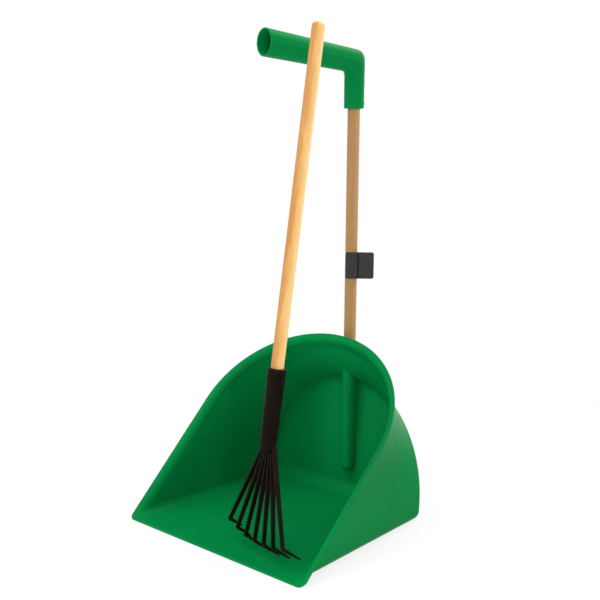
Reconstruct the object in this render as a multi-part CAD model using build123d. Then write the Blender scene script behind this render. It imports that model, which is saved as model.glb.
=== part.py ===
from build123d import *
import os
from math import asin, atan2, cos, degrees, hypot, radians, sin, sqrt, tan

# Manure scoop with a rake standing in it. Millimetres and degrees, +Z up.
# The scoop's floor lies on z = 0, its lip faces -Y and its shaft stands at the back.
# The origin is the middle of the base.

# Scoop shell
BASE_LENGTH = 364.0         # lip to the back wall's outer face, along the floor
WALL = 3.0                  # moulded wall, floor and flange
MOUTH_WIDTH = 418.0         # over the flange
MOUTH_SPRING = 265.0        # straight sides of the mouth, up its slope
MOUTH_KNEE = 60.0           # place on those sides that runs to the spring of the back's arch
RIM_HEIGHT = 316.0          # top of the rim above the floor
RIM_SETBACK = 28.0          # top of the rim in front of the shaft's axis
FLANGE_SIDE = 12.0          # reach of the flared flange at the sides
FLANGE_TOP = 12.0           # and over the arch
RIM_LAND = 1.0              # flat edge left round the flared mouth
LIP_CORNER = 11.0           # rounded corners of the lip
FLOOR_CORNER = 25.0         # outer radius between floor and sides, at the mouth
BACK_CORNER = 15.0          # and at the back
BACK_WIDTH = 349.0          # back wall, over the sides
BACK_HEIGHT = 226.0         # back wall, floor to its bend into the roof
ROOF_SLOPE = 48.0           # roof where it leaves the back wall, from square to it
BACK_SPRING = 30.0          # straight sides of the back wall, with their corners
BACK_SHOULDER = 28.0        # angle up the back's arch that runs to the spring of the mouth
BACK_LEAN = 3.3             # back wall, from upright
BACK_EDGE = 20.0            # outer radius between the back wall and the rest
BACK_HOLLOW = 24.0          # and the inner one
CORNER_LEAST = 1.0          # radius left in the corners of the back wall inside that rounding

# Shaft and its socket in the scoop
SHAFT_DIAMETER = 22.0
SHAFT_LENGTH = 734.0
SHAFT_INSET = 5.4           # shaft's axis in front of the back wall's outer face, at the floor
SHAFT_FOOT = 57.0           # bottom of the shaft above the floor
SHAFT_CLEARANCE = 0.1       # all round the shaft in its sockets
SOCKET_WALL = 1.6
SOCKET_FLOOR = 8.0          # under the shaft, in the socket's round end
COLLAR_DROP = 22.0          # top of the socket below the top of the rim
COLLAR_EDGE = 0.8

# Grip
GRIP_TURN = 14.5            # tube turned aside from straight ahead
GRIP_RISE = 9.4             # tube above level
GRIP_LENGTH = 190.0         # shaft's axis to the middle of the open end
GRIP_COVER = 65.8           # length of shaft inside the leg
GRIP_CROWN = 16.6           # axis of the tube above the shaft's top
LEG_DIAMETER = 36.0         # at the elbow
LEG_MOUTH_DIAMETER = 35.6   # at the bottom
LEG_EDGE = 1.2
TUBE_DIAMETER = 41.4        # at the elbow
TUBE_END_DIAMETER = 47.8    # at the open end
TUBE_WALL = 3.0
TUBE_BORE_DEPTH = 145.0
TUBE_EDGE = 1.0
TUBE_CUT = 6.0              # open end turned from square to nearly upright
ELBOW_INNER = 8.5           # radius in the crook of the elbow
ELBOW_SHARPNESS = 8.0       # higher makes a squarer outer corner
ELBOW_SECTIONS = 9
ELBOW_LEAD = 6.0            # straight length carried into the elbow at both ends

# Clip
CLIP_WIDTH = 51.6           # front plate
CLIP_HEIGHT = 48.6
CLIP_CENTRE = 444.3         # above the floor
CLIP_TURN = 42.0            # direction of the free jaw, from +X towards the back
CLIP_OVERHANG = 11.0        # plate's near edge, past the shaft's axis
CLIP_WALL = 2.4             # plate and jaws
CLIP_CORNER = 4.0
CLIP_EDGE = 0.8
CLIP_GROOVE = 1.1           # how far a held rod sinks into the plate
CLIP_RUNNING = 0.05         # jaw on the shaft
CREASE_PLACE = 12.1         # crease down the plate, from the shaft's axis
CREASE_DEPTH = 0.9
CREASE_WIDTH = 2.0
JAW_SPACING = 26.5          # between the axes of the jaws
JAW_HEIGHT = 38.0
JAW_MOUTH = 0.82            # opening of a jaw, as a share of what it holds
JAW_LIP = 1.5               # radius of the beads along the edges of the jaws
JAW_WEB = 8.0               # bridge between the jaws, front to back

# Rake
RAKE_DIAMETER = 21.5        # wooden handle
RAKE_LENGTH = 667.0         # wooden handle, with the end inside the socket
RAKE_DOME = 6.5             # rounding of its top end
RAKE_CLEARANCE = 0.1        # all round the handle in its socket
RAKE_ACROSS = 74.9          # place of the rake, beside the middle of the scoop
RAKE_BEHIND_LIP = 60.2      # and behind the lip
RAKE_TURN = 11.3            # fan turned from square to the lip
RAKE_LEAN = 7.7             # handle leaning back
RAKE_TILT = 0.42            # and sideways
REST_GAP = 0.3              # lowest tip above the scoop's floor
HEAD_LENGTH = 142.0         # socket, nose to mouth
HEAD_MOUTH_DIAMETER = 31.2
HEAD_NOSE_DIAMETER = 27.2
HEAD_NOSE_RADIUS = 9.0
HEAD_EDGE = 1.2
HEAD_FLOOR = 31.0           # bottom of the handle above the nose
TINE_COUNT = 7
TINE_ANGLE = 23.4           # outermost tine from the handle's line
TINE_LENGTH = 151.5         # nose to bend
TINE_LEAN = 2.2             # fan leaning forward from the handle's line
TINE_WIDTH = 4.8
TINE_FACE = 3.4             # narrower front of a tine, with draft on its sides
TINE_DEPTH = 6.2            # at the bend
TINE_HEEL = 2.6             # extra depth at the nose
TINE_PITCH = 5.8            # between tines where they leave the nose
TINE_OFFSET = 1.6           # fan behind the handle's line, at the nose
TINE_ROOT = 16.0            # length of tine inside the nose
TIP_ANGLE = 61.0            # bend of the tips
TIP_LENGTH = 39.0
TIP_SIZE = 1.8              # blunt point
BEND_OUTER = 6.0
BEND_INNER = 1.5

# Screws
SCREW_DIAMETER = 4.0
SCREW_LENGTH = 20.0
SCREW_POINT = 4.0
SCREW_HEAD_DIAMETER = 8.0
SCREW_HEAD_HEIGHT = 2.8
SCREW_CLEARANCE = 0.08
SEAT_DEPTH = 0.6            # flat under a head, into a round wall
SEAT_MARGIN = 0.3           # flat wider than the head
BOSS_HEIGHT = 1.2           # raised seats on the grip's leg
BOSS_DIAMETER = 10.0
GRIP_SCREW_HEIGHTS = (8.5, 43.5)      # above the bottom of the leg
SOCKET_SCREW_HEIGHTS = (95.0, 195.0)  # above the floor
RAKE_SCREW_DROP = 28.0      # below the mouth of the rake's socket

# Places worked out from the sizes above
LIP_Y = -BASE_LENGTH / 2
BACK_Y = BASE_LENGTH / 2
SHAFT_Y = BACK_Y - SHAFT_INSET
SHAFT_RADIUS = SHAFT_DIAMETER / 2
SHAFT_BORE = SHAFT_RADIUS + SHAFT_CLEARANCE
SHAFT_TOP = SHAFT_FOOT + SHAFT_LENGTH
SOCKET_RADIUS = SHAFT_BORE + SOCKET_WALL
COLLAR_TOP = RIM_HEIGHT - COLLAR_DROP
MOUTH_RUN = SHAFT_Y - RIM_SETBACK - LIP_Y
MOUTH_SLOPE = atan2(RIM_HEIGHT, MOUTH_RUN)
MOUTH_REACH = hypot(RIM_HEIGHT, MOUTH_RUN)
FLARE_DEPTH = FLANGE_SIDE + WALL
LEG_BOTTOM = SHAFT_TOP - GRIP_COVER
RAKE_RADIUS = RAKE_DIAMETER / 2
RAKE_BORE = RAKE_RADIUS + RAKE_CLEARANCE
ROUND_STEPS = (90, 60, 30, 0)
BASE_ALIGN = (Align.CENTER, Align.CENTER, Align.MIN)


def upright(radius, bottom, top):
    return Pos(0, 0, bottom) * Cylinder(radius, top - bottom, align=BASE_ALIGN)


def at_shaft(turn):
    return Pos(0, SHAFT_Y, 0) * Rot(Z=turn)


def mouth_outline(depth, inset, low, corner):
    """Arched outline in a plane this deep behind the mouth."""
    back = depth / tan(MOUTH_SLOPE)
    half = MOUTH_WIDTH / 2 - inset
    spring = MOUTH_SPRING - back
    top = MOUTH_REACH - inset * FLANGE_TOP / FLANGE_SIDE - back
    knee = MOUTH_KNEE - back
    flat = half - corner
    plane = Plane(
        origin=(0, LIP_Y + depth / sin(MOUTH_SLOPE), 0),
        x_dir=(1, 0, 0),
        z_dir=(0, -sin(MOUTH_SLOPE), cos(MOUTH_SLOPE)),
    )
    edges = [
        Line((-flat, low), (flat, low)),
        CenterArc((flat, low + corner), corner, 270, 90),
        Line((half, low + corner), (half, knee)),
        Line((half, knee), (half, spring)),
        EllipticalCenterArc((0, spring), half, top - spring, 0, arc_size=180),
        Line((-half, spring), (-half, knee)),
        Line((-half, knee), (-half, low + corner)),
        CenterArc((-flat, low + corner), corner, 180, 90),
    ]
    return Wire([plane * edge for edge in edges])


def back_outline(depth, inset, top):
    """Arched outline in a plane this far in front of the back wall's outer face."""
    half = BACK_WIDTH / 2 - inset
    rise = top - BACK_SPRING
    spring = (0, BACK_SPRING)
    side = BACK_SHOULDER
    corner = max(BACK_CORNER - inset, CORNER_LEAST)
    low = inset + corner
    flat = half - corner
    lean = radians(BACK_LEAN)
    plane = Plane(origin=(0, BACK_Y - depth, 0), x_dir=(1, 0, 0), z_dir=(0, -cos(lean), sin(lean)))
    edges = [
        Line((-flat, inset), (flat, inset)),
        CenterArc((flat, low), corner, 270, 90),
        Line((half, low), (half, BACK_SPRING)),
        EllipticalCenterArc(spring, half, rise, 0, arc_size=side),
        EllipticalCenterArc(spring, half, rise, side, arc_size=180 - 2 * side),
        EllipticalCenterArc(spring, half, rise, 180 - side, arc_size=side),
        Line((-half, BACK_SPRING), (-half, low)),
        CenterArc((-flat, low), corner, 180, 90),
    ]
    return Wire([plane * edge for edge in edges])


def scoop_skin(skin):
    """Solid within one skin of the scoop, 0 for the outer skin and WALL for the inner one."""
    bend = radians(90 - ROOF_SLOPE)
    fold = BACK_HEIGHT - skin * tan(bend / 2)
    low = skin / sin(MOUTH_SLOPE)
    edge = BACK_HOLLOW if skin else BACK_EDGE
    land = RIM_LAND if skin else 0.0
    front = 0.0 if skin else WALL

    back = []
    for angle in ROUND_STEPS:
        turned = radians(90 - angle)
        reach = edge * (1 - cos(turned))
        inset = edge * (1 - sin(turned))
        if turned < bend:
            top = fold + edge * (sin(turned) - tan(bend / 2))
        else:
            top = fold + reach / tan(bend)
        back.append(back_outline(skin + reach, skin + inset, top))

    flare = []
    for angle in reversed(ROUND_STEPS):
        share = angle / 90
        inset = land + (FLANGE_SIDE + skin - land) * cos(radians(angle))
        depth = FLARE_DEPTH - (FLARE_DEPTH - front) * sin(radians(angle))
        corner = (FLOOR_CORNER - skin) * (1 - share) + (LIP_CORNER - land) * share
        flare.append(mouth_outline(depth, inset, low, corner))
    end = mouth_outline(front - WALL, land, low, LIP_CORNER - land)

    rounding = Solid.make_loft(back)
    trough = Solid.make_loft([back[-1], flare[0]], ruled=True)
    flange = Solid.make_loft(flare)
    rim = Solid.make_loft([flare[-1], end], ruled=True)
    return rounding + trough + flange + rim


def screw():
    """Round-headed screw along +X, its head's flat at x = 0."""
    radius = SCREW_DIAMETER / 2
    head = SCREW_HEAD_DIAMETER / 2
    dome = (head ** 2 + SCREW_HEAD_HEIGHT ** 2) / (2 * SCREW_HEAD_HEIGHT)
    dome_x = dome - SCREW_HEAD_HEIGHT
    spread = degrees(asin(head / dome))
    shoulder = SCREW_LENGTH - SCREW_POINT
    outline = [
        Line((-SCREW_HEAD_HEIGHT, 0), (SCREW_LENGTH, 0)),
        Line((SCREW_LENGTH, 0), (shoulder, radius)),
        Line((shoulder, radius), (0, radius)),
        Line((0, radius), (0, head)),
        CenterArc((dome_x, 0), dome, 180 - spread, spread),
    ]
    return revolve(make_face(outline), Axis.X)


def screw_hole():
    """Hole for the screw, with the flat that its head sits on."""
    hole = Cylinder(SCREW_DIAMETER / 2 + SCREW_CLEARANCE, SCREW_LENGTH, align=BASE_ALIGN)
    seat = Cylinder(SCREW_HEAD_DIAMETER / 2 + SEAT_MARGIN, SCREW_HEAD_DIAMETER, align=BASE_ALIGN)
    return Rot(Y=90) * hole + Rot(Y=-90) * seat


def socket_screw_places():
    """Two screws, one above the other, through the back of the scoop into the shaft."""
    places = []
    for height in SOCKET_SCREW_HEIGHTS:
        wall = SHAFT_INSET + height * tan(radians(BACK_LEAN))
        seat = max(SOCKET_RADIUS, wall) - SEAT_DEPTH
        places.append(at_shaft(-90) * Pos(-seat, 0, height))
    return places


def grip_screw_places():
    """Two screws through the back of the grip's leg into the shaft."""
    seat = LEG_DIAMETER / 2 + BOSS_HEIGHT
    turn = at_shaft(-90 - GRIP_TURN)
    return [turn * Pos(-seat, 0, LEG_BOTTOM + height) for height in GRIP_SCREW_HEIGHTS]


def rake_screw_place():
    """One screw through the rake's socket, on the side its tips point to."""
    height = HEAD_LENGTH - RAKE_SCREW_DROP
    radius = (HEAD_NOSE_DIAMETER + (HEAD_MOUTH_DIAMETER - HEAD_NOSE_DIAMETER) * height / HEAD_LENGTH) / 2
    return Pos(0, radius - SEAT_DEPTH, height) * Rot(Z=-90)


def make_scoop_body():
    outer = scoop_skin(0.0)
    ball = SHAFT_FOOT - SOCKET_FLOOR + SOCKET_RADIUS
    tube = upright(SOCKET_RADIUS, ball, COLLAR_TOP)
    tube = chamfer(tube.edges().sort_by(Axis.Z)[-1], COLLAR_EDGE)
    root_align = (Align.CENTER, Align.MIN, Align.MIN)
    root = Pos(0, 0, ball) * Box(2 * SOCKET_RADIUS, BACK_HEIGHT, BACK_HEIGHT, align=root_align)
    socket = tube + Pos(0, 0, ball) * Sphere(SOCKET_RADIUS)
    body = outer - scoop_skin(WALL)
    body += (at_shaft(0) * root) & outer
    body += at_shaft(0) * socket
    body -= at_shaft(0) * upright(SHAFT_BORE, SHAFT_FOOT, SHAFT_TOP)
    for place in socket_screw_places():
        body -= place * screw_hole()
    return body


def make_scoop_shaft():
    shaft = at_shaft(0) * upright(SHAFT_RADIUS, SHAFT_FOOT, SHAFT_TOP)
    for place in socket_screw_places() + grip_screw_places():
        shaft -= place * screw_hole()
    return shaft


def make_grip():
    """Leg, elbow and tube, made with the tube towards +X over the shaft's axis."""
    leg = LEG_DIAMETER / 2
    tube = TUBE_DIAMETER / 2
    end = TUBE_END_DIAMETER / 2
    rise = radians(GRIP_RISE)
    flare = atan2(end - tube, GRIP_LENGTH)
    under = rise - flare
    upper = rise + flare
    axis_z = SHAFT_TOP + GRIP_CROWN

    crook_x = leg + ELBOW_INNER
    under_z = axis_z - tube * cos(rise) + (crook_x - tube * sin(rise)) * tan(under)
    crook_z = under_z - ELBOW_INNER / cos(under)
    top_x = -tube * sin(rise) - crook_x
    top_z = axis_z + tube * cos(rise) - crook_z
    top_gap = top_z * cos(upper) - top_x * sin(upper)

    foot_plane = Plane(origin=(0, 0, LEG_BOTTOM), x_dir=(-1, 0, 0), z_dir=(0, 0, 1))
    tube_plane = Plane(
        origin=(0, 0, axis_z),
        x_dir=(-sin(rise), 0, cos(rise)),
        z_dir=(cos(rise), 0, sin(rise)),
    )
    leg_top = crook_z - LEG_BOTTOM
    leg_lead = leg_top - ELBOW_LEAD
    tube_root = (crook_x * cos(under) - (axis_z - crook_z) * sin(under)) / cos(flare)
    tube_lead = tube_root + ELBOW_LEAD
    tube_stop = GRIP_LENGTH + end

    def leg_circle(along):
        mouth = LEG_MOUTH_DIAMETER / 2
        return Wire(Edge.make_circle(mouth + (leg - mouth) * along / leg_top, foot_plane.offset(along)))

    def tube_circle(along):
        return Wire(Edge.make_circle(tube + along * tan(flare), tube_plane.offset(along)))

    sections = [leg_circle(leg_lead)]
    for step in range(ELBOW_SECTIONS):
        share = step / (ELBOW_SECTIONS - 1)
        turn = (radians(90) - under) * share
        to_leg = (crook_x + leg) / cos(turn)
        to_top = top_gap / sin(turn + upper)
        reach = (to_leg ** -ELBOW_SHARPNESS + to_top ** -ELBOW_SHARPNESS) ** (-1 / ELBOW_SHARPNESS)
        long = (reach - ELBOW_INNER) / 2
        wide = min(long, leg + (tube + tube_root * tan(flare) - leg) * share)
        centre = ELBOW_INNER + long
        plane = Plane(
            origin=(crook_x - centre * cos(turn), 0, crook_z + centre * sin(turn)),
            x_dir=(-cos(turn), 0, sin(turn)),
            z_dir=(sin(turn), 0, cos(turn)),
        )
        sections.append(Wire(Edge.make_ellipse(long, wide, plane)))
    sections.append(tube_circle(tube_lead))

    grip = Solid.make_loft(sections)
    grip += Solid.make_loft([leg_circle(0), sections[0]], ruled=True)
    grip += Solid.make_loft([sections[-1], tube_circle(tube_stop)], ruled=True)
    grip = chamfer(grip.edges().sort_by(Axis.Z)[0], LEG_EDGE)

    bore_length = TUBE_BORE_DEPTH + end
    bore_mouth = tube + tube_stop * tan(flare) - TUBE_WALL
    bore = Cone(bore_mouth, bore_mouth - bore_length * tan(flare), bore_length, align=BASE_ALIGN)
    grip -= tube_plane.offset(tube_stop).location * Rot(X=180) * bore
    slant = rise - radians(TUBE_CUT)
    cut = Plane(
        origin=tube_plane.offset(GRIP_LENGTH).origin,
        x_dir=(0, 1, 0),
        z_dir=(cos(slant), 0, sin(slant)),
    )
    grip -= cut.location * Box(4 * end, 4 * end, 2 * end, align=BASE_ALIGN)
    grip = fillet(grip.faces().sort_by(Axis(cut.origin, cut.z_dir))[-1].edges(), TUBE_EDGE)
    grip = at_shaft(-90 - GRIP_TURN) * grip
    boss = Rot(Y=90) * Cylinder(BOSS_DIAMETER / 2, LEG_DIAMETER / 2, align=BASE_ALIGN)
    for place in grip_screw_places():
        grip += place * boss
    grip -= at_shaft(0) * upright(SHAFT_BORE, LEG_BOTTOM, SHAFT_TOP)
    for place in grip_screw_places():
        grip -= place * screw_hole()
    return grip


def clip_jaw(diameter, running, turn):
    """Cross-section of one jaw and of its bore, the jaw's opening turned from +Y."""
    bore = diameter / 2 + running
    outer = bore + CLIP_WALL
    half_mouth = JAW_MOUTH * diameter / 2
    bead_x = half_mouth + JAW_LIP
    bead_y = sqrt((bore + JAW_LIP) ** 2 - bead_x ** 2)
    jaw = Circle(outer) - Rectangle(2 * half_mouth, outer, align=(Align.CENTER, Align.MIN))
    jaw += Pos(bead_x, bead_y) * Circle(JAW_LIP)
    jaw += Pos(-bead_x, bead_y) * Circle(JAW_LIP)
    return Rot(Z=turn) * jaw, Circle(bore)


def make_clip():
    """Front plate with two jaws behind it: the shaft's opens away from the other, the rake's to the back."""
    shaft_jaw, shaft_bore = clip_jaw(SHAFT_DIAMETER, CLIP_RUNNING, 90)
    rake_jaw, rake_bore = clip_jaw(RAKE_DIAMETER, 0.0, 0)
    rod_front = SHAFT_RADIUS + CLIP_RUNNING
    rake_place = Pos(JAW_SPACING, RAKE_RADIUS - rod_front)
    plate_back = CLIP_GROOVE - rod_front
    plate_front = plate_back - CLIP_WALL

    plate_plane = Plane(
        origin=(CLIP_WIDTH / 2 - CLIP_OVERHANG, plate_back, 0),
        x_dir=(1, 0, 0),
        z_dir=(0, -1, 0),
    )
    plate = extrude(plate_plane * RectangleRounded(CLIP_WIDTH, CLIP_HEIGHT, CLIP_CORNER), CLIP_WALL)
    plate = chamfer(plate.faces().sort_by(Axis.Y)[0].edges(), CLIP_EDGE)

    web = Pos(JAW_SPACING / 2, 0) * Rectangle(JAW_SPACING, JAW_WEB)
    section = shaft_jaw + rake_place * rake_jaw + web
    section -= Pos(0, plate_back - CLIP_WALL / 2) * Rectangle(
        4 * JAW_SPACING, JAW_SPACING, align=(Align.CENTER, Align.MAX)
    )
    bores = shaft_bore + rake_place * rake_bore
    crease = make_face(Polyline(
        (CREASE_PLACE - CREASE_WIDTH / 2, plate_front),
        (CREASE_PLACE, plate_front + CREASE_DEPTH),
        (CREASE_PLACE + CREASE_WIDTH / 2, plate_front),
        close=True,
    ))
    clip = plate + extrude(section, JAW_HEIGHT / 2, both=True)
    clip -= extrude(bores, CLIP_HEIGHT / 2, both=True)
    clip -= extrude(crease, CLIP_HEIGHT / 2, both=True)
    return at_shaft(CLIP_TURN) * Pos(0, 0, CLIP_CENTRE) * clip


def rake_tine(share):
    """One tine down from the nose, share -1 to 1 across the fan, tips towards +Y."""
    half = TINE_DEPTH / 2
    bend = radians(TIP_ANGLE)
    mitre = half * tan(bend / 2)
    tip_x = TINE_LENGTH + TIP_LENGTH * cos(bend)
    tip_y = TIP_LENGTH * sin(bend)
    blunt_x = TIP_SIZE / 2 * sin(bend)
    blunt_y = TIP_SIZE / 2 * cos(bend)
    outer_bend = (TINE_LENGTH + mitre, -half)
    inner_bend = (TINE_LENGTH - mitre, half)
    side = make_face(Polyline(
        (-TINE_ROOT, -half),
        outer_bend,
        (tip_x + blunt_x, tip_y - blunt_y),
        (tip_x - blunt_x, tip_y + blunt_y),
        inner_bend,
        (-TINE_ROOT, half + TINE_HEEL),
        close=True,
    ))
    side = fillet(side.vertices().sort_by_distance(outer_bend)[0], BEND_OUTER)
    side = fillet(side.vertices().sort_by_distance(inner_bend)[0], BEND_INNER)
    front = make_face(Polyline(
        (-TINE_ROOT, -TINE_WIDTH / 2),
        (TINE_LENGTH, -TINE_WIDTH / 2),
        (tip_x + blunt_x, -TIP_SIZE / 2),
        (tip_x + blunt_x, TIP_SIZE / 2),
        (TINE_LENGTH, TINE_WIDTH / 2),
        (-TINE_ROOT, TINE_WIDTH / 2),
        close=True,
    ))
    draft = make_face(Polyline(
        (-TINE_FACE / 2, -half),
        (TINE_FACE / 2, -half),
        (TINE_WIDTH / 2, half),
        (TINE_WIDTH / 2, TIP_LENGTH),
        (-TINE_WIDTH / 2, TIP_LENGTH),
        (-TINE_WIDTH / 2, half),
        close=True,
    ))
    down = (0, 0, -1)
    tine = extrude(Plane(origin=(0, 0, 0), x_dir=down, z_dir=(1, 0, 0)) * side, TINE_WIDTH, both=True)
    tine &= extrude(Plane(origin=(0, 0, 0), x_dir=down, z_dir=(0, 1, 0)) * front, TIP_LENGTH, both=True)
    tine &= extrude(draft, tip_x + TIP_SIZE, both=True)
    root = share * TINE_PITCH * (TINE_COUNT - 1) / 2
    fan = Pos(0, TINE_OFFSET, 0) * Rot(X=-TINE_LEAN)
    return fan * Pos(root, 0, 0) * Rot(Y=-share * TINE_ANGLE) * tine


def make_rake_head():
    nose = (HEAD_NOSE_DIAMETER / 2, 0)
    mouth = (HEAD_MOUTH_DIAMETER / 2, HEAD_LENGTH)
    outline = make_face(Polyline((0, 0), nose, mouth, (0, HEAD_LENGTH), close=True))
    outline = fillet(outline.vertices().sort_by_distance(nose)[0], HEAD_NOSE_RADIUS)
    outline = chamfer(outline.vertices().sort_by_distance(mouth)[0], HEAD_EDGE)
    head = revolve(Plane.XZ * outline, Axis.Z)
    for index in range(TINE_COUNT):
        head += rake_tine(2 * index / (TINE_COUNT - 1) - 1)
    head -= upright(RAKE_BORE, HEAD_FLOOR, HEAD_LENGTH)
    return head - rake_screw_place() * screw_hole()


def make_rake_handle():
    handle = upright(RAKE_RADIUS, HEAD_FLOOR, HEAD_FLOOR + RAKE_LENGTH)
    handle = fillet(handle.edges().sort_by(Axis.Z)[-1], RAKE_DOME)
    return handle - rake_screw_place() * screw_hole()


def main():
    head = make_rake_head()
    stance = Rot(Z=-RAKE_TURN) * Rot(X=-RAKE_LEAN) * Rot(Y=RAKE_TILT)
    lift = WALL + REST_GAP - (stance * head).bounding_box().min.Z
    rake = Pos(RAKE_ACROSS, LIP_Y + RAKE_BEHIND_LIP, lift) * stance
    nodes = {
        "scoop_body": make_scoop_body(),
        "scoop_shaft": make_scoop_shaft(),
        "shaft_screws": Compound([place * screw() for place in socket_screw_places()]),
        "handle_grip": make_grip(),
        "grip_screws": Compound([place * screw() for place in grip_screw_places()]),
        "rake_clip": make_clip(),
        "rake_head": rake * head,
        "rake_handle": rake * make_rake_handle(),
        "rake_screw": rake * rake_screw_place() * screw(),
    }
    os.makedirs("parts", exist_ok=True)
    for name, shape in nodes.items():
        export_step(shape, "parts/" + name + ".step")


if __name__ == "__main__":
    main()
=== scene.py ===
from math import cos, exp, pi, radians, sin

import bmesh
import bpy
from mathutils import Matrix, Vector


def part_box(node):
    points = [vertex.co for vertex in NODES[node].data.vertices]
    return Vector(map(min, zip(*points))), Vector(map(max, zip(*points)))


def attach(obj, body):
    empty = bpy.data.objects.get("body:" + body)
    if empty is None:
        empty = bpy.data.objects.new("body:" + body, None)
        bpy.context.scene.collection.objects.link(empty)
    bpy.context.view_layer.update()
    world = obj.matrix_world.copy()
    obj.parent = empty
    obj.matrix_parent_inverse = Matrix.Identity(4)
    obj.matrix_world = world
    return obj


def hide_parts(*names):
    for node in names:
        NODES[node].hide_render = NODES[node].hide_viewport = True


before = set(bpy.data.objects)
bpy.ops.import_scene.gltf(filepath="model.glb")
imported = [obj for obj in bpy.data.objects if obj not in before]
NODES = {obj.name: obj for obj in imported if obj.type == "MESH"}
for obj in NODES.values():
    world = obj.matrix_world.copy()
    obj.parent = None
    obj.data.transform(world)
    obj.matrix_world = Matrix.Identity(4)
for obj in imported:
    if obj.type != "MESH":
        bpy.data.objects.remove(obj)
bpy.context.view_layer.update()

# Lengths are in metres in the model's own frame, and colours are linear

# Camera, fitted to the photograph's 600 x 600 frame, with its lens and sensor in millimetres
CAMERA_PLACE = Vector((1.3555, -1.4600, 0.8283))
CAMERA_TURN = radians(42.13)
CAMERA_PITCH = radians(12.0)
CAMERA_ROLL = radians(0.5)
CAMERA_LENS = 70.98
CAMERA_SENSOR = 36.0
CAMERA_FAR = 50.0

# Green plastic of the scoop and the grip
GREEN = (0.0010, 0.212, 0.050)
GREEN_DEEP = (0.0008, 0.186, 0.043)
GREEN_PALE = (0.020, 0.270, 0.085)
GREEN_SPECKS = 0.18
GREEN_SCUFFS = 0.16
GREEN_WEAR = 0.35
SCUFF_ROUGHNESS = 0.10
GREEN_SPECULAR = 0.02

# Wood: direction of the grain, the side with painted light (paler) against painted shade opposite,
# and four colours from dark to pale
SHAFT_GRAIN = Vector((0.0, 0.0, 1.0))
RAKE_GRAIN = Vector((0.033442, 0.129949, 0.990957))
LIT_SIDE = Vector((0.743, 0.669, 0.0))
ROD_RADIUS = 0.011
WOOD_TONES = (0.20, 0.34, 0.52, 0.74)
SHAFT_WOOD = (
    (0.368, 0.202, 0.084),
    (0.386, 0.210, 0.087),
    (0.424, 0.234, 0.098),
    (0.474, 0.276, 0.130),
)
RAKE_WOOD = (
    (0.490, 0.232, 0.070),
    (0.610, 0.300, 0.092),
    (0.865, 0.498, 0.172),
    (0.925, 0.628, 0.268),
)
WOOD_RINGS = {"Scale": 55.0, "Distortion": 3.2, "Detail": 3.0, "Detail Scale": 1.3}
SHAFT_SHIFT = (0.03, 0.015, 0.2)
RAKE_SHIFT = (0.05, -0.02, 0.7)
SHAFT_ROUGHNESS = 0.62
RAKE_ROUGHNESS = 0.48
WOOD_SPECULAR = 0.12

# Dark plastic of the rake's head
HEAD_BLACK = (0.0045, 0.0028, 0.0017)
HEAD_BROWN = (0.0085, 0.0050, 0.0032)
# Paler colour on the head's edges: wear and painted highlight
HEAD_WEAR_AND_SHEEN = (0.030, 0.016, 0.011)
HEAD_DUST = (0.022, 0.014, 0.010)
HEAD_SPECULAR = 0.045

# Grey plastic of the clip
CLIP_GREY = (0.022, 0.022, 0.021)
CLIP_PALE = (0.031, 0.031, 0.030)
CLIP_RUBBED = (0.11, 0.11, 0.105)
# Near-black painted shade for the clip's crease
CLIP_CREASE_SHADE = (0.0015, 0.0015, 0.0015)
CLIP_SPECULAR = 0.20

# Crease down the clip's plate: the plate's direction, places from the shaft's axis, and the painted
# shade in the crease
CLIP_TURN = radians(42.0)
CLIP_CREASE = 0.0121
CLIP_SHADE_WIDTH = (0.0010, 0.0014)
CLIP_SHADE_DEPTH = (0.0109, 0.0114)
CLIP_CREASE_ROUGHNESS = 0.25

# Plated steel of the screws
STEEL = (0.120, 0.126, 0.118)
STEEL_DARK = (0.050, 0.052, 0.047)

# Roof's inner side at the back wall: the wall's inner face and the arch of the crease on it
WALL_FACE = 0.1790
WALL_LEAN = radians(3.3)
CREASE_HALF = 0.1680
CREASE_SPRING = 0.0300
CREASE_TOP = 0.2225
CREASE_SOFT = 0.0120
CREASE_SINK = 0.0003

# Roof's inner side at the mouth: the sloping arch of the flange's fold
FOLD_FOOT = -0.1603
FOLD_SLOPE = radians(43.706)
FOLD_HALF = 0.1964
FOLD_SPRING = 0.2493
FOLD_TOP = 0.4290

# Hollow between the two: how far up the arch it starts, its knee as shares of the way, handles
SHOULDER = radians(28.0)
KNEE_EVEN = 0.5
CROWN_START = 0.5
CROWN_AHEAD = 0.575
CROWN_OUT = 0.385
ROOF_HANDLE = 0.70
ROOF_DEEPER = 0.15
ROOF_DEEPER_REACH = 0.040
ROOF_COLUMNS = 120
ROOF_ROWS = 28
CREASE_ROWS = ROOF_ROWS // 3

# Cross recesses in the heads of the screws
RECESS_REACH = 0.0024
RECESS_HALF_WIDTH = 0.0006
RECESS_DEPTH = 0.0019
RECESS_PROUD = RECESS_DEPTH / 2
RECESS_TAPER = 0.45
WELD = 0.000002
SHARP_ANGLE = radians(35.0)

# Floor, just under the object, which fades to white between two distances from it
FLOOR = (0.90, 0.90, 0.90)
FLOOR_SHADE = 0.985
FLOOR_ROUGHNESS = 0.9
FLOOR_SPECULAR = 0.1
FLOOR_REACH = 14.0
FLOOR_LEVEL = -0.0004
FADE_BETWEEN = (0.35, 1.1)
FADE_WHITE = (0.80, 1.0)

# Studio: soft square lamps, each with its place, side and power in watts
WHITE = (1.0, 1.0, 1.0, 1.0)
AMBIENT = 0.02
LAMP_TARGET = Vector((0.0, 0.0, 0.25))
LAMPS = (
    ("key", (-2.4, -2.6, 1.5), 1.8, 45.0),
    ("fill", (2.3, -2.5, 1.5), 1.8, 44.0),
    ("side", (2.6, 2.0, 1.5), 1.4, 33.0),
    ("back", (0.4, 3.1, 1.9), 2.6, 78.0),
    ("top", (-0.5, -0.8, 3.1), 2.0, 53.0),
    ("top_front", (0.3, -2.2, 2.6), 2.0, 24.0),
    ("top_back", (0.2, 1.6, 2.8), 2.0, 29.0),
)


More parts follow.
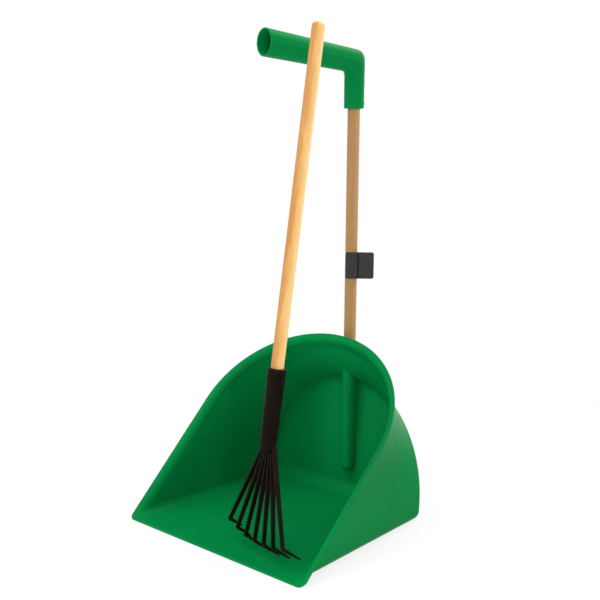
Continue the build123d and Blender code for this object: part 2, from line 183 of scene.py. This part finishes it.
class Graph:
    """A new material's nodes, with its Principled shader and object coordinates."""

    def __init__(self, name):
        self.material = bpy.data.materials.new(name)
        self.material.use_nodes = True
        self.tree = self.material.node_tree
        self.tree.nodes.clear()
        self.output = self.add("ShaderNodeOutputMaterial")
        self.shader = self.add("ShaderNodeBsdfPrincipled")
        self.link(self.shader.outputs["BSDF"], self.output.inputs["Surface"])
        self.place = self.add("ShaderNodeTexCoord").outputs["Object"]

    def add(self, kind, **values):
        node = self.tree.nodes.new(kind)
        for key, value in values.items():
            setattr(node, key, value)
        return node

    def link(self, source, target):
        self.tree.links.new(source, target)

    def mapped(self, rotation=(0, 0, 0), scale=(1, 1, 1), location=(0, 0, 0)):
        node = self.add("ShaderNodeMapping")
        node.inputs["Rotation"].default_value = rotation
        node.inputs["Scale"].default_value = scale
        node.inputs["Location"].default_value = location
        self.link(self.place, node.inputs["Vector"])
        return node.outputs["Vector"]

    def along(self, centre, direction):
        """How far a place lies from the centre in a direction."""
        offset = self.add("ShaderNodeVectorMath", operation="SUBTRACT")
        offset.inputs[1].default_value = centre
        self.link(self.place, offset.inputs[0])
        reach = self.add("ShaderNodeVectorMath", operation="DOT_PRODUCT")
        reach.inputs[1].default_value = direction
        self.link(offset.outputs["Vector"], reach.inputs[0])
        return reach.outputs["Value"]

    def noise(self, scale, detail=3.0, roughness=0.5, distortion=0.0, vector=None):
        node = self.add("ShaderNodeTexNoise")
        node.inputs["Scale"].default_value = scale
        node.inputs["Detail"].default_value = detail
        node.inputs["Roughness"].default_value = roughness
        node.inputs["Distortion"].default_value = distortion
        self.link(vector or self.place, node.inputs["Vector"])
        return node.outputs["Fac"]

    def ramp(self, factor, stops):
        node = self.add("ShaderNodeValToRGB")
        elements = node.color_ramp.elements
        while len(elements) < len(stops):
            elements.new(0.5)
        for element, (place, colour) in zip(elements, stops):
            element.position = place
            element.color = (*colour, 1.0)
        self.link(factor, node.inputs["Fac"])
        return node.outputs["Color"]

    def level(self, factor, between, to=(0.0, 1.0)):
        """The factor's range between two values, laid over another range and kept within it."""
        node = self.add("ShaderNodeMapRange")
        node.inputs["From Min"].default_value, node.inputs["From Max"].default_value = between
        node.inputs["To Min"].default_value, node.inputs["To Max"].default_value = to
        self.link(factor, node.inputs["Value"])
        return node.outputs["Result"]

    def worn_edges(self, between, share):
        """Up to this share on outward edges, from the mesh's pointiness."""
        geometry = self.add("ShaderNodeNewGeometry")
        return self.level(geometry.outputs["Pointiness"], between, to=(0.0, share))

    def math(self, operation, *values):
        node = self.add("ShaderNodeMath", operation=operation)
        for socket, value in zip(node.inputs, values):
            if isinstance(value, float):
                socket.default_value = value
            else:
                self.link(value, socket)
        return node.outputs["Value"]

    def tint(self, share, colour, other):
        """The colour with a share of another, fixed one."""
        node = self.add("ShaderNodeMix", data_type="RGBA")
        inputs = {socket.identifier: socket for socket in node.inputs}
        outputs = {socket.identifier: socket for socket in node.outputs}
        self.link(share, inputs["Factor_Float"])
        self.link(colour, inputs["A_Color"])
        inputs["B_Color"].default_value = (*other, 1.0)
        return outputs["Result_Color"]

    def bump(self, height, strength, distance, normal=None):
        node = self.add("ShaderNodeBump")
        node.inputs["Strength"].default_value = strength
        node.inputs["Distance"].default_value = distance
        self.link(height, node.inputs["Height"])
        if normal is not None:
            self.link(normal, node.inputs["Normal"])
        return node.outputs["Normal"]

    def set(self, **sockets):
        """Shader inputs: a plain value is set on its socket, an output is linked to it."""
        for key, value in sockets.items():
            socket = self.shader.inputs[key.replace("_", " ")]
            if isinstance(value, bpy.types.NodeSocket):
                self.link(value, socket)
            else:
                socket.default_value = value


def moulded_green():
    """Smooth moulded plastic: clouded colour, fine grain, hair scuffs and paler worn edges."""
    g = Graph("moulded_green")
    cloud = g.noise(scale=7.0, detail=4.0, roughness=0.55)
    colour = g.ramp(cloud, ((0.30, GREEN_DEEP), (0.62, GREEN)))
    specks = g.noise(scale=420.0, detail=2.0)
    specks = g.level(specks, between=(0.62, 0.78), to=(0.0, GREEN_SPECKS))
    colour = g.tint(specks, colour, GREEN_PALE)

    streaks = g.mapped(rotation=(0.2, 0.1, 0.7), scale=(1.0, 7.0, 2.2))
    scuffs = g.noise(scale=55.0, detail=6.0, roughness=0.62, distortion=0.6, vector=streaks)
    patches = g.noise(scale=9.0, vector=g.mapped(location=(3.1, 1.7, 0.4)))
    scuffs = g.level(scuffs, between=(0.60, 0.74))
    scuffs = g.math("MULTIPLY", scuffs, g.level(patches, between=(0.46, 0.66)))
    colour = g.tint(g.math("MULTIPLY", scuffs, GREEN_SCUFFS), colour, GREEN_PALE)
    colour = g.tint(g.worn_edges(between=(0.53, 0.62), share=GREEN_WEAR), colour, GREEN_PALE)

    rough = g.noise(scale=38.0, detail=5.0, roughness=0.6)
    rough = g.level(rough, between=(0.3, 0.7), to=(0.27, 0.36))
    rough = g.math("ADD", rough, g.math("MULTIPLY", scuffs, SCUFF_ROUGHNESS))
    grain = g.noise(scale=1500.0, detail=2.0)
    waves = g.noise(scale=16.0, detail=2.0)
    normal = g.bump(grain, strength=0.10, distance=0.0002)
    normal = g.bump(waves, strength=0.10, distance=0.0020, normal=normal)
    g.set(Base_Color=colour, Roughness=rough, Normal=normal, Specular_IOR_Level=GREEN_SPECULAR)
    return g.material


def turned_wood(name, node, grain, colours, shift, roughness):
    """Round turned wood: painted light on one side and painted shade on the other, fibres, faint
    rings, pores and handling marks.
    """
    g = Graph(name)
    low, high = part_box(node)
    # Direction across the grain towards the side with painted light
    side = LIT_SIDE - grain * LIT_SIDE.dot(grain)
    across = g.along((low + high) / 2, side.normalized() / ROD_RADIUS)
    turn = grain.rotation_difference(Vector((0, 0, 1))).to_euler()

    def drawn_out(scale):
        """Coordinates with the grain upright, at this scale along it."""
        return g.mapped(rotation=turn, scale=(1.0, 1.0, scale), location=shift)

    rings = g.add(
        "ShaderNodeTexWave", wave_type="RINGS", rings_direction="Z", wave_profile="SIN"
    )
    for key, value in WOOD_RINGS.items():
        rings.inputs[key].default_value = value
    g.link(drawn_out(0.10), rings.inputs["Vector"])
    fibre = g.noise(scale=420.0, detail=5.0, roughness=0.65, vector=drawn_out(0.022))
    pores = g.noise(scale=1300.0, detail=2.0, vector=drawn_out(0.030))
    drift = g.noise(scale=30.0, vector=drawn_out(0.30))
    marks = g.noise(scale=26.0, detail=4.0, roughness=0.6, vector=drawn_out(0.45))

    # Painted light and shade across the rod: paler towards the lit side, darker away from it, with
    # drift, fibre and rings laid on
    light_and_grain = g.level(across, between=(-1.0, 1.0), to=(0.0, 0.72))
    for part, between, to in (
        (drift, (0.25, 0.75), (0.03, 0.23)),
        (fibre, (0.25, 0.75), (-0.06, 0.06)),
        (rings.outputs["Fac"], (0.0, 1.0), (-0.03, 0.03)),
    ):
        light_and_grain = g.math("ADD", light_and_grain, g.level(part, between, to))
    colour = g.ramp(light_and_grain, tuple(zip(WOOD_TONES, colours)))
    dark = colours[0]
    colour = g.tint(g.level(pores, between=(0.62, 0.72), to=(0.0, 0.22)), colour, dark)
    colour = g.tint(g.level(marks, between=(0.60, 0.76), to=(0.0, 0.20)), colour, dark)

    rough = g.level(fibre, between=(0.3, 0.7), to=(roughness - 0.06, roughness + 0.08))
    normal = g.bump(fibre, strength=0.16, distance=0.0004)
    normal = g.bump(pores, strength=0.12, distance=0.0002, normal=normal)
    g.set(Base_Color=colour, Roughness=rough, Normal=normal, Specular_IOR_Level=WOOD_SPECULAR)
    return g.material


def satin_black():
    """Dark rake plastic: brown-black, faint flow marks, paler towards its edges as wear and painted
    highlight.
    """
    g = Graph("satin_black")
    upright = g.mapped(scale=(1.0, 1.0, 0.25))
    flow = g.noise(scale=60.0, detail=4.0, roughness=0.55, vector=upright)
    colour = g.ramp(flow, ((0.35, HEAD_BLACK), (0.70, HEAD_BROWN)))
    # Paler edges from pointiness: partly wear, partly painted highlight
    colour = g.tint(g.worn_edges(between=(0.54, 0.66), share=0.45), colour, HEAD_WEAR_AND_SHEEN)
    dust = g.noise(scale=230.0, detail=4.0, roughness=0.6)
    colour = g.tint(g.level(dust, between=(0.58, 0.75), to=(0.0, 0.25)), colour, HEAD_DUST)
    rough = g.noise(scale=120.0, detail=4.0)
    rough = g.level(rough, between=(0.3, 0.7), to=(0.42, 0.58))
    normal = g.bump(g.noise(scale=1100.0), strength=0.06, distance=0.0002)
    g.set(Base_Color=colour, Roughness=rough, Normal=normal, Specular_IOR_Level=HEAD_SPECULAR)
    return g.material


def dull_grey():
    """Clip plastic: dull grey, spark-eroded grain, paler edges and painted shade in the crease."""
    g = Graph("dull_grey")
    cloud = g.noise(scale=90.0, detail=4.0, roughness=0.6)
    colour = g.ramp(cloud, ((0.32, CLIP_GREY), (0.72, CLIP_PALE)))
    colour = g.tint(g.worn_edges(between=(0.54, 0.66), share=0.4), colour, CLIP_RUBBED)

    # Painted shade: a near-black strip along the plate's crease, on its front only, with a rougher
    # surface there
    low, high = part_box("scoop_shaft")
    axis = (low + high) / 2
    across = g.along(axis, Vector((cos(CLIP_TURN), sin(CLIP_TURN), 0.0)))
    ahead = g.along(axis, Vector((sin(CLIP_TURN), -cos(CLIP_TURN), 0.0)))
    aside = g.math("ABSOLUTE", g.math("SUBTRACT", across, CLIP_CREASE))
    crease_shade = g.level(aside, CLIP_SHADE_WIDTH, to=(1.0, 0.0))
    crease_shade = g.math("MULTIPLY", crease_shade, g.level(ahead, CLIP_SHADE_DEPTH))
    colour = g.tint(crease_shade, colour, CLIP_CREASE_SHADE)

    rough = g.level(g.noise(scale=300.0), between=(0.3, 0.7), to=(0.55, 0.68))
    rough = g.math("ADD", rough, g.math("MULTIPLY", crease_shade, CLIP_CREASE_ROUGHNESS))
    normal = g.bump(g.noise(scale=1800.0, detail=2.0), strength=0.30, distance=0.0003)
    g.set(Base_Color=colour, Roughness=rough, Normal=normal, Specular_IOR_Level=CLIP_SPECULAR)
    return g.material


def plated_steel():
    """Zinc-plated screw heads: clouded plating, darker tarnish."""
    g = Graph("plated_steel")
    tarnish = g.noise(scale=260.0, detail=4.0, roughness=0.6)
    colour = g.ramp(tarnish, ((0.35, STEEL_DARK), (0.62, STEEL)))
    rough = g.level(tarnish, between=(0.3, 0.7), to=(0.46, 0.30))
    normal = g.bump(g.noise(scale=1500.0, detail=2.0), strength=0.12, distance=0.0002)
    g.set(Base_Color=colour, Metallic=1.0, Roughness=rough, Normal=normal)
    g.set(Specular_Tint=(*STEEL, 1.0))
    return g.material


def dress(material, *names):
    for name in names:
        mesh = NODES[name].data
        mesh.materials.clear()
        mesh.materials.append(material)


def add_object(name, data):
    item = bpy.data.objects.new(name, data)
    bpy.context.collection.objects.link(item)
    return item


def smooth_all(mesh):
    for polygon in mesh.polygons:
        polygon.use_smooth = True


def eased(share):
    """A share kept within 0 and 1, with a soft start and end."""
    share = min(max(share, 0.0), 1.0)
    return share * share * (3.0 - 2.0 * share)


def one_handle_curve(share, start, handle, end):
    rest = 1.0 - share
    return start * rest ** 2 + handle * (2.0 * share * rest) + end * share ** 2


def two_handle_curve(share, start, first, second, end):
    rest = 1.0 - share
    ends = start * rest ** 3 + end * share ** 3
    return ends + first * (3.0 * share * rest ** 2) + second * (3.0 * share ** 2 * rest)


def crease_places(angle):
    """The crease's place at this angle up its arch, and the place on the wall further in."""
    lean_up = Vector((0.0, sin(WALL_LEAN), cos(WALL_LEAN)))
    rise = CREASE_TOP - CREASE_SPRING
    height = CREASE_SPRING + rise * sin(angle)
    crease = Vector((CREASE_HALF * cos(angle), WALL_FACE, 0.0)) + lean_up * height
    inward = Vector((-cos(angle) / CREASE_HALF, 0.0, 0.0)) - lean_up * (sin(angle) / rise)
    into_wall = Vector((0.0, cos(WALL_LEAN), -sin(WALL_LEAN)))
    on_wall = crease + inward.normalized() * CREASE_SOFT + into_wall * CREASE_SINK
    return crease, on_wall


def fold_place(angle):
    """The place on the flange's fold that goes with this angle of the crease's arch."""
    turn = (angle - SHOULDER) / (pi - 2 * SHOULDER) * pi
    height = FOLD_SPRING + (FOLD_TOP - FOLD_SPRING) * sin(turn)
    slope_up = Vector((0.0, cos(FOLD_SLOPE), sin(FOLD_SLOPE)))
    return Vector((FOLD_HALF * cos(turn), FOLD_FOOT, 0.0)) + slope_up * height


def roof_section(angle):
    """Places on the roof's inner side, from the back wall to the flange's fold, at this angle."""
    crease, on_wall = crease_places(angle)
    fold = fold_place(angle)
    crown = eased((sin(angle) - CROWN_START) / (1.0 - CROWN_START))
    deeper = ROOF_DEEPER * exp(-((crease.x / ROOF_DEEPER_REACH) ** 2))
    ahead = KNEE_EVEN + (CROWN_AHEAD - KNEE_EVEN) * crown + deeper
    out = KNEE_EVEN + (CROWN_OUT - KNEE_EVEN) * crown - deeper
    handle = ROOF_HANDLE + deeper
    span = fold - crease
    knee = crease + Vector((span.x * out, span.y * ahead, span.z * out))
    first = crease.lerp(knee, handle)
    second = fold.lerp(knee, handle)

    # The crease is rounded over the same length on the wall and on the hollow
    soft = CREASE_SOFT / (first - crease).length / 3.0
    leaving = two_handle_curve(soft, crease, first, second, fold)
    places = []
    for row in range(CREASE_ROWS):
        places.append(one_handle_curve(row / CREASE_ROWS, on_wall, crease, leaving))
    hollow_rows = ROOF_ROWS - CREASE_ROWS
    for row in range(hollow_rows + 1):
        share = soft + (1.0 - soft) * row / hollow_rows
        places.append(two_handle_curve(share, crease, first, second, fold))
    return places


def make_roof_lining(material):
    """The roof's inner side as one smooth hollow from the back wall's crease to the flange."""
    low, high = SHOULDER, pi - SHOULDER
    corners = []
    for column in range(ROOF_COLUMNS + 1):
        corners.extend(roof_section(low + (high - low) * column / ROOF_COLUMNS))
    across = ROOF_ROWS + 1
    faces = []
    for column in range(ROOF_COLUMNS):
        for row in range(ROOF_ROWS):
            start = column * across + row
            faces.append((start, start + 1, start + 1 + across, start + across))
    mesh = bpy.data.meshes.new("roof_lining")
    mesh.from_pydata(corners, [], faces)
    smooth_all(mesh)
    mesh.materials.append(material)
    lining = add_object("roof_lining", mesh)
    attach(lining, "scoop")


def separate_solids(shape):
    """Places of a bmesh's vertices, in one list for each solid that hangs together."""
    seen = set()
    groups = []
    for start in shape.verts:
        if start in seen:
            continue
        seen.add(start)
        group = [start]
        for vertex in group:
            for edge in vertex.link_edges:
                other = edge.other_vert(vertex)
                if other not in seen:
                    seen.add(other)
                    group.append(other)
        groups.append([vertex.co.copy() for vertex in group])
    return groups


def head_and_point(places):
    """A screw's two places furthest apart: the one on its head, the thicker end, comes first."""
    first = max(places, key=lambda place: (place - places[0]).length)
    second = max(places, key=lambda place: (place - first).length)
    axis = (second - first).normalized()
    widest = max(places, key=lambda place: (place - first).cross(axis).length)
    if (widest - first).length < (widest - second).length:
        return first, second
    return second, first


def recess_cutter(top, point):
    """Tapered cross that stands a little proud of the head and goes down into it."""
    down = (point - top).normalized()
    right = down.orthogonal().normalized()
    ahead = down.cross(right)
    arm, half = RECESS_REACH, RECESS_HALF_WIDTH
    cross = [
        (arm, -half), (arm, half), (half, half), (half, arm), (-half, arm), (-half, half),
        (-arm, half), (-arm, -half), (-half, -half), (-half, -arm), (half, -arm), (half, -half),
    ]
    corners = []
    for depth, size in ((-RECESS_PROUD, 1.0), (RECESS_DEPTH, RECESS_TAPER)):
        corners.extend(top + down * depth + (right * x + ahead * y) * size for x, y in cross)
    count = len(cross)
    faces = [tuple(range(count)), tuple(reversed(range(count, 2 * count)))]
    for index in range(count):
        following = (index + 1) % count
        faces.append((following, index, index + count, following + count))
    mesh = bpy.data.meshes.new("recess")
    mesh.from_pydata(corners, [], faces)
    shape = bmesh.new()
    shape.from_mesh(mesh)
    bmesh.ops.recalc_face_normals(shape, faces=shape.faces)
    shape.to_mesh(mesh)
    shape.free()
    return add_object("recess", mesh)


def cut_recesses(node, body, material):
    """The node's screws again, with a cross recess in each head."""
    shape = bmesh.new()
    shape.from_mesh(NODES[node].data)
    bmesh.ops.remove_doubles(shape, verts=shape.verts, dist=WELD)
    mesh = bpy.data.meshes.new(node + "_recessed")
    shape.to_mesh(mesh)
    groups = separate_solids(shape)
    shape.free()
    screws = add_object(node + "_recessed", mesh)
    cutters = [recess_cutter(*head_and_point(places)) for places in groups]
    for cutter in cutters:
        cut = screws.modifiers.new("recess", "BOOLEAN")
        cut.object = cutter
        cut.operation = "DIFFERENCE"
        cut.solver = "EXACT"
    bpy.context.view_layer.update()
    graph = bpy.context.evaluated_depsgraph_get()
    carved = bpy.data.meshes.new_from_object(screws.evaluated_get(graph))
    screws.modifiers.clear()
    screws.data = carved
    bpy.data.meshes.remove(mesh)
    for cutter in cutters:
        bpy.data.objects.remove(cutter)
    smooth_all(carved)
    carved.set_sharp_from_angle(angle=SHARP_ANGLE)
    carved.materials.clear()
    carved.materials.append(material)
    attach(screws, body)
    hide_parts(node)


def white_to_view(tree):
    """1 for rays that see the background straight or mirrored, 0 for those that only give light."""
    path = tree.nodes.new("ShaderNodeLightPath")
    seen = path.outputs["Is Camera Ray"]
    for kind in ("Is Glossy Ray", "Is Transmission Ray"):
        either = tree.nodes.new("ShaderNodeMath")
        either.operation = "MAXIMUM"
        tree.links.new(seen, either.inputs[0])
        tree.links.new(path.outputs[kind], either.inputs[1])
        seen = either.outputs["Value"]
    return seen


def make_floor():
    """Pale floor that keeps the object's shadow and fades to white further out."""
    mesh = bpy.data.meshes.new("floor")
    sides = ((-1, -1), (1, -1), (1, 1), (-1, 1))
    corners = [(x * FLOOR_REACH, y * FLOOR_REACH, FLOOR_LEVEL) for x, y in sides]
    mesh.from_pydata(corners, [], [(0, 1, 2, 3)])
    floor = add_object("floor", mesh)

    g = Graph("pale_floor")
    shade = tuple(FLOOR_SHADE * channel for channel in FLOOR)
    colour = g.ramp(g.noise(scale=3.0), ((0.3, shade), (0.7, FLOOR)))
    g.set(Base_Color=colour, Roughness=FLOOR_ROUGHNESS, Specular_IOR_Level=FLOOR_SPECULAR)
    glow = g.add("ShaderNodeEmission")
    glow.inputs["Strength"].default_value = 1.0
    distance = g.add("ShaderNodeVectorMath", operation="LENGTH")
    g.link(g.place, distance.inputs[0])
    fade = g.level(distance.outputs["Value"], FADE_BETWEEN, FADE_WHITE)
    blend = g.add("ShaderNodeMixShader")
    g.link(g.math("MULTIPLY", white_to_view(g.tree), fade), blend.inputs["Fac"])
    g.link(g.shader.outputs["BSDF"], blend.inputs[1])
    g.link(glow.outputs["Emission"], blend.inputs[2])
    g.link(blend.outputs["Shader"], g.output.inputs["Surface"])
    mesh.materials.append(g.material)


def make_world():
    """White to look at, and only a little ambient light."""
    world = bpy.data.worlds.new("studio")
    bpy.context.scene.world = world
    world.use_nodes = True
    tree = world.node_tree
    tree.nodes.clear()
    output = tree.nodes.new("ShaderNodeOutputWorld")
    background = tree.nodes.new("ShaderNodeBackground")
    background.inputs["Color"].default_value = WHITE
    strength = tree.nodes.new("ShaderNodeMapRange")
    strength.inputs["To Min"].default_value = AMBIENT
    strength.inputs["To Max"].default_value = 1.0
    tree.links.new(white_to_view(tree), strength.inputs["Value"])
    tree.links.new(strength.outputs["Result"], background.inputs["Strength"])
    tree.links.new(background.outputs["Background"], output.inputs["Surface"])


def make_lamp(name, place, size, power):
    light = bpy.data.lights.new(name, "AREA")
    light.shape = "SQUARE"
    light.size = size
    light.energy = power
    lamp = add_object(name, light)
    lamp.location = place
    lamp.rotation_euler = (LAMP_TARGET - Vector(place)).to_track_quat("-Z", "Y").to_euler()


def make_camera():
    right = Vector((cos(CAMERA_TURN), sin(CAMERA_TURN), 0.0))
    ahead = Vector((
        -sin(CAMERA_TURN) * cos(CAMERA_PITCH),
        cos(CAMERA_TURN) * cos(CAMERA_PITCH),
        -sin(CAMERA_PITCH),
    ))
    up = right.cross(ahead)
    rolled_right = cos(CAMERA_ROLL) * right + sin(CAMERA_ROLL) * up
    rolled_up = cos(CAMERA_ROLL) * up - sin(CAMERA_ROLL) * right
    data = bpy.data.cameras.new("camera")
    data.sensor_width = CAMERA_SENSOR
    data.lens = CAMERA_LENS
    data.clip_end = CAMERA_FAR
    camera = add_object("camera", data)
    turn = Matrix((rolled_right, rolled_up, -ahead)).transposed().to_4x4()
    camera.matrix_world = Matrix.Translation(CAMERA_PLACE) @ turn
    bpy.context.scene.camera = camera


green = moulded_green()
dress(green, "scoop_body", "handle_grip")
make_roof_lining(green)
shaft_wood = turned_wood(
    "shaft_wood", "scoop_shaft", SHAFT_GRAIN, SHAFT_WOOD, SHAFT_SHIFT, SHAFT_ROUGHNESS
)
rake_wood = turned_wood(
    "rake_wood", "rake_handle", RAKE_GRAIN, RAKE_WOOD, RAKE_SHIFT, RAKE_ROUGHNESS
)
dress(shaft_wood, "scoop_shaft")
dress(rake_wood, "rake_handle")
dress(satin_black(), "rake_head")
dress(dull_grey(), "rake_clip")
steel = plated_steel()
cut_recesses("shaft_screws", "scoop", steel)
cut_recesses("grip_screws", "scoop", steel)
cut_recesses("rake_screw", "rake", steel)

make_floor()
make_world()
for lamp_values in LAMPS:
    make_lamp(*lamp_values)
make_camera()
bpy.context.scene.view_settings.view_transform = "Standard"
